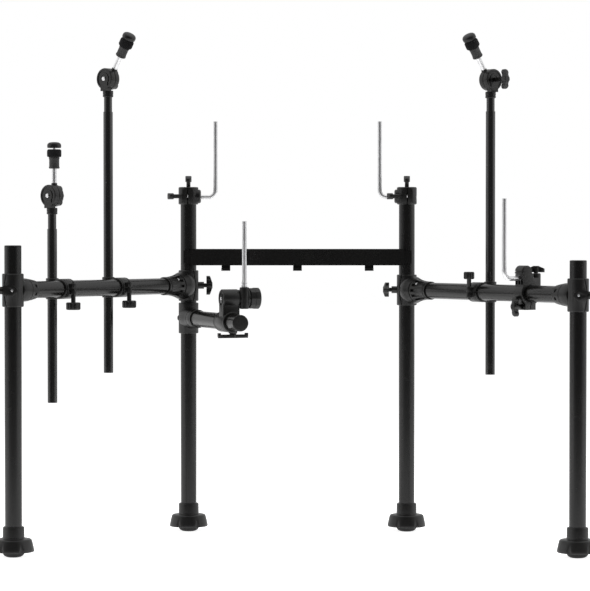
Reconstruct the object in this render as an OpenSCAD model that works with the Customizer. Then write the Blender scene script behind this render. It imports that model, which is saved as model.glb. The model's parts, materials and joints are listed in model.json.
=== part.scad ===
// Free-standing rack of an electronic drum kit: four posts, two hinged wings,
// a cross bar, three cymbal booms, three tom rods and a snare rod.
// Origin: on the floor, in the middle of the four feet. +Z up, +X right, the player sits at -Y.

/* [Main pipes] */
// Outer diameter of the rack pipe
tube_d = 38.1; // [36:0.1:42]
// Wall of the rack pipe
tube_wall = 1.6; // [1.2:0.1:3]
// Distance between the axes of the two inner posts
inner_spacing = 528; // [480:1:640]
// Height of the inner posts' top end
inner_post_top = 800; // [760:1:900]
// Height of the left outer post's top end
left_post_top = 695; // [670:1:760]
// Height of the right outer post's top end
right_post_top = 662; // [650:1:760]

/* [Wings] */
// Distance from the inner to the outer post's axis
wing_length = 635; // [600:1:720]
// Angle between the wings and the cross bar
wing_angle = 55; // [35:1:70]
// Height of the left wing pipe's axis
left_wing_height = 595; // [585:1:610]
// Height of the right wing pipe's axis
right_wing_height = 584.5; // [575:0.5:600]

/* [Feet] */
// Height of the post's lower end above the floor
post_seat = 16; // [14:1:24]
// Height of the rubber pad under the foot
pad_height = 12; // [8:1:12]
// Radius of the rubber pad
pad_radius = 25.5; // [22:0.5:30]
// Radius of the flat that rests on the floor
pad_flat_radius = 16; // [10:1:18]
// Radius of the foot's skirt at its lower edge
skirt_radius = 45; // [42:1:55]
// Radius of the foot's skirt at its upper edge
skirt_top_radius = 40; // [36:1:42]
// Height of the skirt's upper edge
skirt_top = 41; // [36:1:50]
// Height of the foot's sleeve
sleeve_top = 68; // [60:1:90]
// Radius of the foot's sleeve
sleeve_radius = 24; // [22.5:0.5:28]
// Lobes round the skirt
foot_lobes = 6; // [4:1:9]

/* [Cross bar] */
// Gap between the wing clamps' tops and the cross bar
bar_over_clamp = 12.2; // [4:0.2:60]
// Height of the bar's section
bar_section_height = 39.6; // [30:0.2:45]
// Depth of the bar's section
bar_section_depth = 18; // [12:1:30]
// Wall of the bar
bar_wall = 2; // [1.5:0.1:3]
// Distance from the bar's end to the post's axis
bar_end_inset = 7; // [2:1:14]
// Thickness of the saddle between bar and post
saddle_gap = 3; // [2:0.5:8]
// Width of the saddle
saddle_width = 22; // [16:1:28]
// Distance between the cable hooks
hook_spacing = 172.5; // [120:0.5:190]
// Width of a cable hook
hook_width = 21; // [14:1:30]
// Drop of a cable hook below the bar
hook_drop = 13; // [8:1:20]
// Thickness of a cable hook
hook_thickness = 2; // [1.5:0.5:3]

/* [Wing clamps] */
// Outer radius of a post collar
collar_radius = 24; // [23:0.5:28]
// Height of a post collar
collar_height = 74; // [60:1:76]
// Chamfer on the collar's edges
collar_chamfer = 1.4; // [0.5:0.1:2.5]
// Distance from the inner post's axis to the socket's mouth
inner_mouth = 97; // [80:1:110]
// Distance from the outer post's axis to the socket's mouth
outer_mouth = 66; // [60:1:80]
// Outer radius of the socket's mouth
mouth_radius = 21.8; // [21:0.1:24]
// Outer radius of the socket where it meets the collar
flare_radius = 33; // [28:1:34]
// Outer radius of the short socket where it meets the collar
dome_radius = 26.5; // [25:0.5:32]
// Angle from the socket to the clamp bolt's direction
bolt_angle = 125; // [120:1:130]
// Distance from the post's axis to the clamp bolt's axis
bolt_offset = 27; // [26:0.5:30]
// Place of the jaw's seam above and below the lug
seam_edge = 12; // [10:0.5:14]
// Place of the jaw's seam at the lug
seam_middle = 19.5; // [19.2:0.1:21]

/* [Screws] */
// Radius of the clamp bolts
bolt_radius = 3; // [2.5:0.25:4]
// Span of the large wings
wing_span = 46; // [40:1:52]
// Span of the small wings
small_span = 36; // [30:1:38]
// Radius of the left boom clamps' round knobs
knob_radius = 16.5; // [12:0.5:18]
// Radius of the right boom clamp's round knob
small_knob_radius = 12.5; // [11:0.5:16]
// Height of the boom clamps' round knobs
knob_height = 17; // [12:1:24]

/* [Cymbal booms] */
// Diameter of the lower boom tube
boom_d = 22.2; // [20:0.1:25.4]
// Diameter of the upper boom tube
upper_d = 19.1; // [17:0.1:19.1]
// Wall of the boom tubes
boom_wall = 1.45; // [1.2:0.05:1.45]
// Distance from the wing pipe's axis to the boom's axis
boom_offset = 35; // [34:0.5:40]
// Distance from the left outer post's axis to the hi-hat boom
hihat_from_end = 173.5; // [140:0.5:235]
// Left cymbal boom's place along the left wing
left_boom_place = 261; // [200:1:300]
// Right cymbal boom's place along the right wing
right_boom_place = 279; // [200:1:300]
// Height of the hi-hat boom's lower end
hihat_boom_foot = 334; // [250:1:400]
// Height of the left cymbal boom's lower end
left_boom_foot = 394; // [250:1:430]
// Height of the right cymbal boom's lower end
right_boom_foot = 391; // [250:1:430]
// Height of the hi-hat tilter's lower edge
hihat_tilter_foot = 765; // [763:1:900]
// Height of the hi-hat boom's lower tube
hihat_tube_top = 731.5; // [690:0.5:734]
// Height of the left tilter's lower edge
left_tilter_foot = 1040.5; // [1037:0.5:1200]
// Height of the right tilter's lower edge
right_tilter_foot = 1037; // [1037:0.5:1200]
// Height of the cymbal booms' lower tubes
lower_tube_top = 1006; // [900:1:1006]
// Length of upper tube held inside the lower tube
tube_overlap = 150; // [130:1:250]
// Lean of the left and right cymbal rods from the vertical
rod_lean = 33; // [0:0.5:40]
// Width of a boom clamp along the wing pipe
boom_clamp_width = 36; // [26:1:40]
// Radius of a boom clamp round the wing pipe
boom_clamp_radius = 23; // [22.5:0.5:25]
// Radius of the tilter's two discs
disc_radius = 25; // [20:0.5:27]
// Thickness of a tilter disc
disc_thickness = 14; // [13:0.5:18]
// Free neck of the tilter screws that are tightened
tight_neck = 2; // [1.5:0.5:8]
// Free neck of the tilter screw that is backed out
loose_neck = 28; // [4:1:34]
// Height of the tilter's hinge above its lower edge
hinge_height = 42.5; // [40.5:0.5:60]
// Radius of a cymbal rod
rod_radius = 5.5; // [4:0.25:6]
// Radius of the thin stud on a cymbal rod
stud_radius = 3; // [2.5:0.25:4]
// Distance from the hinge to the rubber sleeve
seat_start = 62; // [50:1:80]
// Length of the rubber sleeve
seat_sleeve_length = 26; // [20:1:40]
// Height of the felt
felt_height = 18; // [10:1:30]
// Gap between felt and cap nut
cap_gap = 3; // [0.3:0.1:6]

/* [Tom rods] */
// Diameter of the tom and snare rods
l_rod_d = 10.5; // [9.5:0.1:12]
// Bend radius of the tom rods
bend_radius = 17; // [12:1:24]
// Reach of the left and right tom rods from the post's axis
tom_reach = 65.5; // [60:0.5:100]
// Height of the tom rods' upper ends
tom_rod_top = 992; // [930:1:1050]
// Height of the holder's body
holder_height = 42; // [38:1:46]
// Length of holder below the post's end
holder_grip = 9; // [6:1:12]
// Height of the rod's axis above the post's end
rod_over_post = 8.5; // [7.5:0.5:12]
// Reach of the holder's boss from the post's axis
boss_reach = 30; // [28:1:34]
// Radius of the holder's boss
boss_radius = 16.5; // [14:0.5:17]

/* [Side tom] */
// Distance from the right outer post's axis to the clamp
side_tom_from_end = 179; // [140:1:215]
// Clamp's width along the pipe
side_clamp_width = 31; // [24:1:40]
// Clamp's radius round the pipe
side_clamp_radius = 27; // [24:0.5:30]
// Height of the rod's axis above the wing pipe's axis
side_rod_rise = 34.5; // [33:0.5:45]
// Reach of the rod from the wing pipe's axis
side_rod_reach = 66; // [64:1:90]
// Height of the rod's upper end
side_rod_top = 801; // [740:1:900]

/* [Snare arm] */
// Gap between the left wing clamp and the snare arm's collar
snare_collar_gap = 4.5; // [1:0.5:60]
// Length of the snare arm from the post's axis to its end
snare_reach = 394; // [350:1:430]
// Angle of the snare arm from straight ahead
snare_angle = 20.5; // [10:0.5:30]
// Distance from the arm's end to the rod clamp
clamp_setback = 56; // [20:1:70]
// Width of the rod clamp along the arm
rod_clamp_width = 74; // [60:1:80]
// Height of the knuckle's axis above the arm's axis
knuckle_rise = 54.5; // [50:0.5:70]
// Radius of the knuckle's barrel
barrel_radius = 21.4; // [19:0.2:24]
// Height of the snare rod's upper end
snare_rod_top = 750; // [700:1:850]
// Radius of the knuckle's knob
snare_knob_radius = 25.6; // [22:0.2:28]

/* [Fits] */
// Radial running clearance of pins and pipes in their bores
running_fit = 0.07; // [0.03:0.01:0.1]
// Gap between pieces that move past each other
gap = 0.3; // [0.2:0.05:0.5]

/* [Hidden] */
$fn = 64;

LEFT = -1;
RIGHT = 1;
paint = "#1d1d1f";
moulding = "#242426";
rubber = "#2b2b2c";
chrome = "#c8cacd";
felt = "#18181a";

// Overshoot of every cutting solid
over = 1;
tube_r = tube_d / 2;
pipe_bore = tube_r + running_fit;
inner_x = inner_spacing / 2;
inner_y = wing_length * sin(wing_angle) / 2;
outer_x = inner_x + wing_length * cos(wing_angle);
outer_y = -inner_y;
bolt_bore = bolt_radius + running_fit;
l_rod_r = l_rod_d / 2;
l_rod_bore = l_rod_r + running_fit;
boom_r = boom_d / 2;
boom_bore = boom_r + running_fit;
upper_r = upper_d / 2;
bar_front_y = inner_y - tube_r - saddle_gap - bar_section_depth;
bar_bottom = max(left_wing_height, right_wing_height) + collar_height / 2 + bar_over_clamp;
snare_height = left_wing_height - collar_height - snare_collar_gap;
hihat_place = wing_length - hihat_from_end;
side_tom_place = wing_length - side_tom_from_end;
// Length of the cutters that pass right through a piece
through = 120;
// Height of the wing screws' wings
wings_height = 14.5;
// The clamp lug's faces along and across its bolt
lug_tail = -12;
lug_half_height = 13;
lug_outer_face = bolt_offset + 7;
jaw_lug_end = 36;
jaw_lug_radius = 8.5;
// The ear block of a boom clamp
ear_offset = boom_clamp_radius + 5;
ear_radius = 6.5;
ear_half_height = 13;
boom_collar_radius = boom_r + 3.4;
boom_collar_half = 24;
// Direction of the tilters' hinges in the wing's own axes, and the rod's place along a hinge
hinge_direction = 175;
rod_beside = (gap + disc_thickness) / 2;
// The tilter's neck round its tube, and the lower end of the rod above the hinge
neck_height = 15;
tube_in_neck = 13;
rod_start = 7;
// The rod clamp and its knuckle, measured across the snare arm
barrel_start = -20;
barrel_end = 20;
tooth_end = 26;
knuckle_end = 57;
knob_end = 71;
snare_rod_across = 32;
snare_rod_ahead = 14;
lever_across = 4;
pivot_radius = 4;
clamp_middle = snare_reach - clamp_setback - rod_clamp_width / 2;
knuckle_place = clamp_middle + 11;
lever_place = clamp_middle + 25;
rod_clamp_radius = 24;

function wing_height(side) = side == LEFT ? left_wing_height : right_wing_height;

// Places its children on a wing: +X runs out along the wing, +Y faces the player
module on_wing(side) {
    translate([side * inner_x, inner_y, wing_height(side)])
        if (side == RIGHT) mirror([1, 0, 0]) rotate([0, 0, 180 + wing_angle]) children();
        else rotate([0, 0, 180 + wing_angle]) children();
}

// Places its children at a clamp of a wing, with the socket along +X
module at_clamp(side, outer) {
    on_wing(side)
        if (outer) translate([wing_length, 0, 0]) rotate([0, 0, 180]) children();
        else children();
}

// Places its children on the boom's axis at floor level
module at_boom(side, place) {
    on_wing(side) translate([place, -boom_offset, -wing_height(side)]) children();
}

// Places its children on the snare arm: +X runs along the arm, +Y to the player's right
module on_snare_arm() {
    translate([-inner_x, inner_y, snare_height]) rotate([0, 0, snare_angle - 90]) children();
}

module pipe(radius, wall, length) {
    difference() {
        cylinder(r = radius, h = length);
        translate([0, 0, -over]) cylinder(r = radius - wall, h = length + 2 * over);
    }
}

// Solid of revolution with both outer edges chamfered
module bevelled_disc(radius, low, high, bevel) {
    rotate_extrude()
        polygon([[0, low], [radius - bevel, low], [radius, low + bevel],
                 [radius, high - bevel], [radius - bevel, high], [0, high]]);
}

// Two-lobed wings round +Z, from z = 0 up: flat below, highest in the middle
module wings(span) {
    lobe = 6.5;
    waist = 9;
    reach = span / 2;
    intersection() {
        linear_extrude(height = wings_height) union() {
            for (end = [LEFT, RIGHT]) translate([end * (reach - lobe), 0]) circle(r = lobe);
            square([span - 2 * lobe, waist], center = true);
        }
        rotate([90, 0, 0]) linear_extrude(height = 4 * lobe, center = true)
            polygon([[-reach, 0], [reach, 0], [reach, 7.5], [reach - 2, 9], [5, wings_height], [-5, wings_height],
                     [2 - reach, 9], [-reach, 7.5]]);
    }
}

// Wing screw along +Z: its shank reaches down to tip, its neck starts at z = 0
module wing_screw(span, hub_radius, neck, tip) {
    neck_radius = 5;
    union() {
        translate([0, 0, tip]) cylinder(r = bolt_radius, h = neck - tip + over);
        cylinder(r = neck_radius, h = neck + over);
        translate([0, 0, neck]) bevelled_disc(hub_radius, 0, wings_height, 1);
        translate([0, 0, neck]) wings(span);
    }
}

// Chrome rod bent from a level leg along +X into an upright leg
module bent_rod(start, reach, rise) {
    straight = reach - bend_radius;
    tip_bevel = 1;
    union() {
        translate([start, 0, 0]) rotate([0, 90, 0]) cylinder(r = l_rod_r, h = straight - start);
        translate([straight, 0, bend_radius]) rotate([90, 0, 0])
            rotate([0, 0, -90]) rotate_extrude(angle = 90) translate([bend_radius, 0]) circle(r = l_rod_r);
        translate([reach, 0, bend_radius])
            rotate_extrude() polygon([[0, 0], [l_rod_r, 0], [l_rod_r, rise - bend_radius - tip_bevel],
                                      [l_rod_r - tip_bevel, rise - bend_radius], [0, rise - bend_radius]]);
    }
}

// Post with its plastic end plug, standing on the seat in its foot
module post(top, capped) {
    plug_depth = 14;
    plug_lip = 2.5;
    body_top = capped ? top - plug_lip : top;
    color(paint) translate([0, 0, post_seat]) pipe(tube_r, tube_wall, body_top - post_seat);
    if (capped) color(moulding) translate([0, 0, body_top - plug_depth]) union() {
        cylinder(r = tube_r - tube_wall, h = plug_depth);
        translate([0, 0, plug_depth]) cylinder(r1 = tube_r, r2 = tube_r - 1, h = plug_lip);
    }
}

module foot() {
    notch_radius = 14;
    notch_depth = 6;
    color(moulding) difference() {
        rotate_extrude()
            polygon([[0, pad_height], [skirt_radius - 3, pad_height], [skirt_radius, pad_height + 3],
                     [skirt_radius - 0.5, pad_height + 7], [skirt_top_radius, skirt_top - 4],
                     [skirt_top_radius - 4, skirt_top], [sleeve_radius + 0.8, skirt_top + 0.5],
                     [sleeve_radius, sleeve_top - 2], [sleeve_radius - 1.6, sleeve_top], [0, sleeve_top]]);
        translate([0, 0, post_seat]) cylinder(r = tube_r, h = sleeve_top);
        for (i = [0:foot_lobes - 1]) rotate([0, 0, 180 / foot_lobes - 90 + i * 360 / foot_lobes])
            translate([skirt_radius + notch_radius - notch_depth, 0, -over]) cylinder(r = notch_radius, h = skirt_top + 3);
    }
    color(rubber) rotate_extrude()
        polygon([[0, 0], [pad_flat_radius, 0], [pad_radius - 4, 1.6], [pad_radius - 1, 4.5],
                 [pad_radius, pad_height - 2], [pad_radius, pad_height], [0, pad_height]]);
}

module left_inner_post() translate([-inner_x, inner_y, 0]) post(inner_post_top, false);
module right_inner_post() translate([inner_x, inner_y, 0]) post(inner_post_top, false);
module left_outer_post() translate([-outer_x, outer_y, 0]) post(left_post_top, true);
module right_outer_post() translate([outer_x, outer_y, 0]) post(right_post_top, true);
module left_outer_foot() translate([-outer_x, outer_y, 0]) foot();
module right_outer_foot() translate([outer_x, outer_y, 0]) foot();

module inner_feet() {
    for (side = [LEFT, RIGHT]) translate([side * inner_x, inner_y, 0]) foot();
}

module bar_pipe() {
    length = inner_spacing - 2 * bar_end_inset;
    translate([-length / 2, bar_front_y, bar_bottom]) difference() {
        cube([length, bar_section_depth, bar_section_height]);
        translate([-over, bar_wall, bar_wall])
            cube([length + 2 * over, bar_section_depth - 2 * bar_wall, bar_section_height - 2 * bar_wall]);
    }
}

module saddle(side) {
    height = bar_section_height - 8;
    depth = tube_r + saddle_gap;
    difference() {
        translate([side * inner_x - saddle_width / 2, bar_front_y + bar_section_depth, bar_bottom + (bar_section_height - height) / 2])
            cube([saddle_width, depth * 0.6, height]);
        translate([side * inner_x, inner_y, 0]) cylinder(r = tube_r, h = inner_post_top);
    }
}

module cable_hook() {
    lip = 7;
    depth = bar_section_depth - 4;
    translate([-hook_width / 2, 0, -hook_drop]) union() {
        translate([0, depth - hook_thickness, 0]) cube([hook_width, hook_thickness, hook_drop]);
        cube([hook_width, depth, hook_thickness]);
        cube([hook_width, hook_thickness, lip]);
    }
}

// The bar, its saddles on the posts and its cable hooks
module cross_bar() {
    color(paint) {
        bar_pipe();
        for (side = [LEFT, RIGHT]) saddle(side);
        for (i = [-1:1]) translate([i * hook_spacing, bar_front_y + 2, bar_bottom]) cable_hook();
    }
}

module wing_pipe(side) {
    inset = collar_radius + 3;
    color(paint) on_wing(side) translate([inset, 0, 0]) rotate([0, 90, 0])
        pipe(tube_r, tube_wall, wing_length - 2 * inset);
}

module left_wing_pipe() wing_pipe(LEFT);
module right_wing_pipe() wing_pipe(RIGHT);

// Socket along +X: a trumpet on the long one, a dome on the short one
module socket_shell(mouth, root_radius, concave) {
    root = 30;
    steps = 9;
    lip = 2;
    curve = [for (i = [0:steps]) let (f = i / steps) [
        mouth_radius + (root_radius - mouth_radius) * (concave ? pow(1 - f, 2.2) : 1 - pow(f, 1.6)),
        root + (mouth - lip - root) * f]];
    rotate([0, 90, 0]) rotate_extrude()
        polygon(concat([[0, 12], [root_radius - 3, 12], [root_radius, 20]], curve,
                       [[mouth_radius, mouth], [0, mouth]]));
}

module seam_region(shift) {
    half = collar_height / 2 + over;
    rotate([90, 0, 0]) linear_extrude(height = through, center = true)
        polygon([[seam_edge + shift, -half], [seam_middle + shift, 0], [seam_edge + shift, half], [60, half], [60, -half]]);
}

module lug() {
    rotate([90, 0, 0]) translate([0, 0, -lug_outer_face]) linear_extrude(height = lug_outer_face - 12)
        polygon([[lug_tail, -4], [lug_tail, 4], [-2, lug_half_height], [seam_middle, lug_half_height - 3],
                 [seam_middle, 3 - lug_half_height], [-2, -lug_half_height]]);
}

module jaw_lug() {
    translate([seam_middle, bolt_offset, 0]) rotate([0, 90, 0]) cylinder(r = jaw_lug_radius, h = jaw_lug_end - seam_middle);
    translate([seam_middle, 6, -jaw_lug_radius]) cube([4.2, bolt_offset - 6, 2 * jaw_lug_radius]);
}

module post_collar(height) {
    bevelled_disc(collar_radius, -height / 2, height / 2, collar_chamfer);
}

module clamp_bores() {
    translate([0, 0, -collar_height]) cylinder(r = pipe_bore, h = 2 * collar_height);
    rotate([0, 0, bolt_angle]) translate([lug_tail - over, bolt_offset, 0])
        rotate([0, 90, 0]) cylinder(r = bolt_bore, h = through);
}

// Ribbed pockets round a long socket
module socket_pockets(mouth) {
    count = 6;
    for (i = [0:count - 1]) rotate([i * 360 / count + 30, 0, 0])
        translate([mouth - 36, -3.5, mouth_radius - 0.6]) cube([18, 7, 12]);
}

module clamp_body(mouth, outer) {
    color(moulding) difference() {
        union() {
            difference() {
                union() {
                    post_collar(collar_height);
                    rotate([0, 0, bolt_angle]) lug();
                }
                rotate([0, 0, bolt_angle]) seam_region(0);
            }
            socket_shell(mouth, outer ? dome_radius : flare_radius, !outer);
        }
        clamp_bores();
        translate([collar_radius + 3, 0, 0]) rotate([0, 90, 0]) cylinder(r = tube_r, h = mouth);
        if (!outer) socket_pockets(mouth);
    }
}

module clamp_jaw() {
    color(moulding) difference() {
        rotate([0, 0, bolt_angle]) intersection() {
            union() {
                post_collar(collar_height);
                jaw_lug();
            }
            seam_region(gap);
        }
        clamp_bores();
    }
}

module left_inner_clamp() at_clamp(LEFT, false) clamp_body(inner_mouth, false);
module left_outer_clamp() at_clamp(LEFT, true) clamp_body(outer_mouth, true);
module right_inner_clamp() at_clamp(RIGHT, false) clamp_body(inner_mouth, false);
module right_outer_clamp() at_clamp(RIGHT, true) clamp_body(outer_mouth, true);

module left_clamp_jaws() {
    for (outer = [false, true]) at_clamp(LEFT, outer) clamp_jaw();
}

module right_clamp_jaws() {
    for (outer = [false, true]) at_clamp(RIGHT, outer) clamp_jaw();
}

module clamp_screw(side, outer, turn) {
    neck = 6;
    color(moulding) at_clamp(side, outer) rotate([0, 0, bolt_angle])
        translate([jaw_lug_end + gap, bolt_offset, 0]) rotate([0, 90, 0])
            rotate([0, 0, turn]) wing_screw(wing_span, 8, neck, lug_tail - jaw_lug_end + 2);
}

module left_inner_wing_screw() clamp_screw(LEFT, false, 0);
module left_outer_wing_screw() clamp_screw(LEFT, true, 0);
module right_inner_wing_screw() clamp_screw(RIGHT, false, 47);
module right_outer_wing_screw() clamp_screw(RIGHT, true, 0);

// Ring round the wing pipe, ears on the player's side and a collar for the boom behind
module boom_clamp(side, place) {
    web_half = 10;
    slot = 2;
    color(moulding) on_wing(side) translate([place, 0, 0]) difference() {
        union() {
            rotate([0, 90, 0]) bevelled_disc(boom_clamp_radius, -boom_clamp_width / 2, boom_clamp_width / 2, 1);
            translate([0, ear_offset, 0]) bevelled_disc(ear_radius, -ear_half_height, ear_half_height, 0.8);
            translate([-ear_radius, 15, -ear_half_height + 1]) cube([2 * ear_radius, ear_offset - 15, 2 * ear_half_height - 2]);
            translate([0, -boom_offset, 0]) bevelled_disc(boom_collar_radius, -boom_collar_half, boom_collar_half, 0.8);
            translate([-web_half, -boom_offset, -18]) cube([2 * web_half, boom_offset - 15, 36]);
        }
        rotate([0, 90, 0]) cylinder(r = pipe_bore, h = through, center = true);
        translate([0, -boom_offset, 0]) cylinder(r = boom_bore, h = through, center = true);
        translate([0, ear_offset, 0]) cylinder(r = bolt_bore, h = through, center = true);
        translate([-boom_clamp_width, tube_r - 3, -slot / 2]) cube([2 * boom_clamp_width, 40, slot]);
    }
}

// Round knob whose shank passes through the ears
module clamp_knob(side, place, radius, below) {
    stem = 17.5;
    stem_radius = 5.2;
    flutes = 8;
    flute_radius = 4;
    color(moulding) on_wing(side) translate([place, ear_offset, 0]) rotate([below ? 180 : 0, 0, 0]) {
        difference() {
            union() {
                translate([0, 0, -ear_half_height - 3]) cylinder(r = bolt_radius, h = 2 * ear_half_height + stem);
                translate([0, 0, ear_half_height + gap]) cylinder(r = stem_radius, h = stem);
                translate([0, 0, ear_half_height + stem]) bevelled_disc(radius, 0, knob_height, 2);
            }
            for (i = [0:flutes - 1]) rotate([0, 0, i * 360 / flutes])
                translate([radius + flute_radius - 1.5, 0, ear_half_height + stem - over]) cylinder(r = flute_radius, h = knob_height + 2 * over);
        }
    }
}

module hihat_boom_clamp() boom_clamp(LEFT, hihat_place);
module left_boom_clamp() boom_clamp(LEFT, left_boom_place);
module right_boom_clamp() boom_clamp(RIGHT, right_boom_place);
module hihat_clamp_knob() clamp_knob(LEFT, hihat_place, knob_radius, true);
module left_clamp_knob() clamp_knob(LEFT, left_boom_place, knob_radius, true);
module right_clamp_knob() clamp_knob(RIGHT, right_boom_place, small_knob_radius, false);

// Places its children on a tilter's hinge: +X runs along the hinge, the rods lean to -Y
module at_hinge(foot_height, side, place) {
    at_boom(side, place) translate([0, 0, foot_height + hinge_height]) rotate([0, 0, hinge_direction]) children();
}

// Disc of a tilter on one side of its hinge's middle
module tilter_disc(side) {
    rotate([0, side * 90, 0]) bevelled_disc(disc_radius, gap / 2, gap / 2 + disc_thickness, 2);
}

module hinge_bore() {
    rotate([0, 90, 0]) cylinder(r = bolt_bore, h = through, center = true);
}

// Lower half of a tilter; its neck sits on the upper tube
module tilter_base(foot_height, side, place) {
    neck_radius = 12.3;
    web_half = 11;
    color(moulding) at_hinge(foot_height, side, place) difference() {
        union() {
            tilter_disc(LEFT);
            translate([0, 0, -hinge_height]) {
                bevelled_disc(neck_radius, 0, neck_height, 1);
                translate([-disc_thickness - gap / 2, -web_half, neck_height - over])
                    cube([disc_thickness, 2 * web_half, hinge_height - neck_height]);
            }
        }
        translate([0, 0, -hinge_height - over]) cylinder(r = upper_r + running_fit, h = tube_in_neck + over);
        hinge_bore();
    }
}

// Wing nut on the far (RIGHT) or near (LEFT) side of a tilter; its bolt is the hinge
module tilter_nut(foot_height, side, place, face, neck) {
    color(moulding) at_hinge(foot_height, side, place) rotate([0, face * 90, 0])
        translate([0, 0, gap / 2 + disc_thickness + gap])
            wing_screw(wing_span, 8, neck, -2 * disc_thickness);
}

// Chrome rod with a thin stud, beside the hinge
module cymbal_rod(foot_height, lean, side, place) {
    stud_end = seat_start + seat_sleeve_length + felt_height + cap_gap + 8;
    color(chrome) at_hinge(foot_height, side, place) rotate([lean, 0, 0]) translate([rod_beside, 0, 0]) union() {
        translate([0, 0, rod_start]) cylinder(r = rod_radius, h = seat_start - rod_start);
        translate([0, 0, rod_start]) cylinder(r = stud_radius, h = stud_end - rod_start);
    }
}

// Upper half of a tilter, and the rubber sleeve, felt and cap nut on its rod
module tilter_head(foot_height, lean, side, place) {
    socket_radius = 6.8;
    socket_end = 29;
    sleeve_r = 12.2;
    felt_r = 16.5;
    cap_r = 16;
    felt_start = seat_start + seat_sleeve_length;
    cap_start = felt_start + felt_height + cap_gap;
    at_hinge(foot_height, side, place) rotate([lean, 0, 0]) {
        color(moulding) difference() {
            union() {
                tilter_disc(RIGHT);
                translate([rod_beside, 0, rod_start + over]) cylinder(r = socket_radius, h = socket_end - rod_start - over);
            }
            hinge_bore();
            translate([rod_beside, 0, rod_start]) cylinder(r = rod_radius, h = socket_end);
        }
        translate([rod_beside, 0, 0]) {
            color(rubber) difference() {
                bevelled_disc(sleeve_r, seat_start, felt_start, 0.8);
                cylinder(r = stud_radius, h = cap_start);
            }
            color(felt) difference() {
                bevelled_disc(felt_r, felt_start, felt_start + felt_height, 1.5);
                cylinder(r = stud_radius, h = cap_start);
            }
            color(moulding) difference() {
                translate([0, 0, cap_start]) rotate_extrude()
                    polygon([[0, 0], [cap_r - 1, 0], [cap_r, 1], [cap_r, 7], [cap_r - 2, 10.5], [cap_r - 6, 12.5], [0, 13.5]]);
                cylinder(r = stud_radius, h = cap_start + 8);
            }
        }
    }
}

module lower_tube(foot_height, top, side, place) {
    color(paint) at_boom(side, place) translate([0, 0, foot_height]) pipe(boom_r, boom_wall, top - foot_height);
}

module hihat_boom() lower_tube(hihat_boom_foot, hihat_tube_top, LEFT, hihat_place);
module left_boom() lower_tube(left_boom_foot, lower_tube_top, LEFT, left_boom_place);
module right_boom() lower_tube(right_boom_foot, lower_tube_top, RIGHT, right_boom_place);

// Upper tube that telescopes in the lower one and carries the tilter
module boom_upper(tilter_foot, lower_top, side, place) {
    upper_wall = 1.5;
    low = lower_top - tube_overlap;
    color(paint) at_boom(side, place) translate([0, 0, low]) pipe(upper_r, upper_wall, tilter_foot + tube_in_neck - gap - low);
    tilter_base(tilter_foot, side, place);
}

module hihat_boom_upper() boom_upper(hihat_tilter_foot, hihat_tube_top, LEFT, hihat_place);
module left_boom_upper() boom_upper(left_tilter_foot, lower_tube_top, LEFT, left_boom_place);
module right_boom_upper() boom_upper(right_tilter_foot, lower_tube_top, RIGHT, right_boom_place);
module hihat_tilter_nut() tilter_nut(hihat_tilter_foot, LEFT, hihat_place, RIGHT, tight_neck);
module left_tilter_nut() tilter_nut(left_tilter_foot, LEFT, left_boom_place, RIGHT, tight_neck);
module right_tilter_nut() tilter_nut(right_tilter_foot, RIGHT, right_boom_place, LEFT, loose_neck);
module hihat_rod() cymbal_rod(hihat_tilter_foot, 0, LEFT, hihat_place);
module left_cymbal_rod() cymbal_rod(left_tilter_foot, rod_lean, LEFT, left_boom_place);
module right_cymbal_rod() cymbal_rod(right_tilter_foot, rod_lean, RIGHT, right_boom_place);
module hihat_tilter_head() tilter_head(hihat_tilter_foot, 0, LEFT, hihat_place);
module left_tilter_head() tilter_head(left_tilter_foot, rod_lean, LEFT, left_boom_place);
module right_tilter_head() tilter_head(right_tilter_foot, rod_lean, RIGHT, right_boom_place);

// Places its children on an inner post's top end
module on_post_top(side) {
    translate([side * inner_x, inner_y, inner_post_top]) children();
}

// The side screw crosses the split in front of the post, at this distance and height
holder_bolt_y = -tube_r - 10;
holder_bolt_z = rod_over_post + 2;
holder_top = holder_height - holder_grip;
ear_half_width = 13;

module tom_holder(side) {
    split = 2;
    color(moulding) on_post_top(side) difference() {
        union() {
            bevelled_disc(collar_radius, -holder_grip, holder_top, 2);
            translate([0, 0, rod_over_post + 2]) rotate([0, -side * 90, 0]) bevelled_disc(boss_radius, 0, boss_reach, 2.5);
            translate([-ear_half_width, holder_bolt_y - 6, -5]) cube([2 * ear_half_width, 17, 32]);
        }
        translate([0, 0, -holder_grip - over]) cylinder(r = pipe_bore, h = holder_grip + over + gap);
        translate([0, 0, rod_over_post]) rotate([0, 90, 0]) cylinder(r = l_rod_bore, h = through, center = true);
        translate([0, holder_bolt_y, holder_bolt_z]) rotate([0, 90, 0]) cylinder(r = bolt_bore, h = through, center = true);
        translate([0, 0, rod_over_post]) cylinder(r = bolt_bore, h = through);
        translate([-split / 2, -through - l_rod_r, -through / 2]) cube([split, through, through]);
    }
}

module tom_top_screw(side) {
    neck = 12;
    color(moulding) on_post_top(side) translate([0, 0, holder_top + gap])
        rotate([0, 0, 90]) wing_screw(small_span, 7.5, neck, rod_over_post + l_rod_r + gap - holder_top);
}

module tom_side_screw(side) {
    neck = boss_reach - ear_half_width + 4;
    color(moulding) on_post_top(side) translate([-ear_half_width - gap, holder_bolt_y, holder_bolt_z])
        rotate([0, -90, 0]) rotate([0, 0, 90]) wing_screw(small_span, 7.5, neck, -2 * ear_half_width);
}

module tom_rod(side) {
    tail = 18;
    color(chrome) on_post_top(side) translate([0, 0, rod_over_post])
        rotate([0, 0, side == LEFT ? 0 : 180]) bent_rod(-tail, tom_reach, tom_rod_top - inner_post_top - rod_over_post);
}

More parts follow.
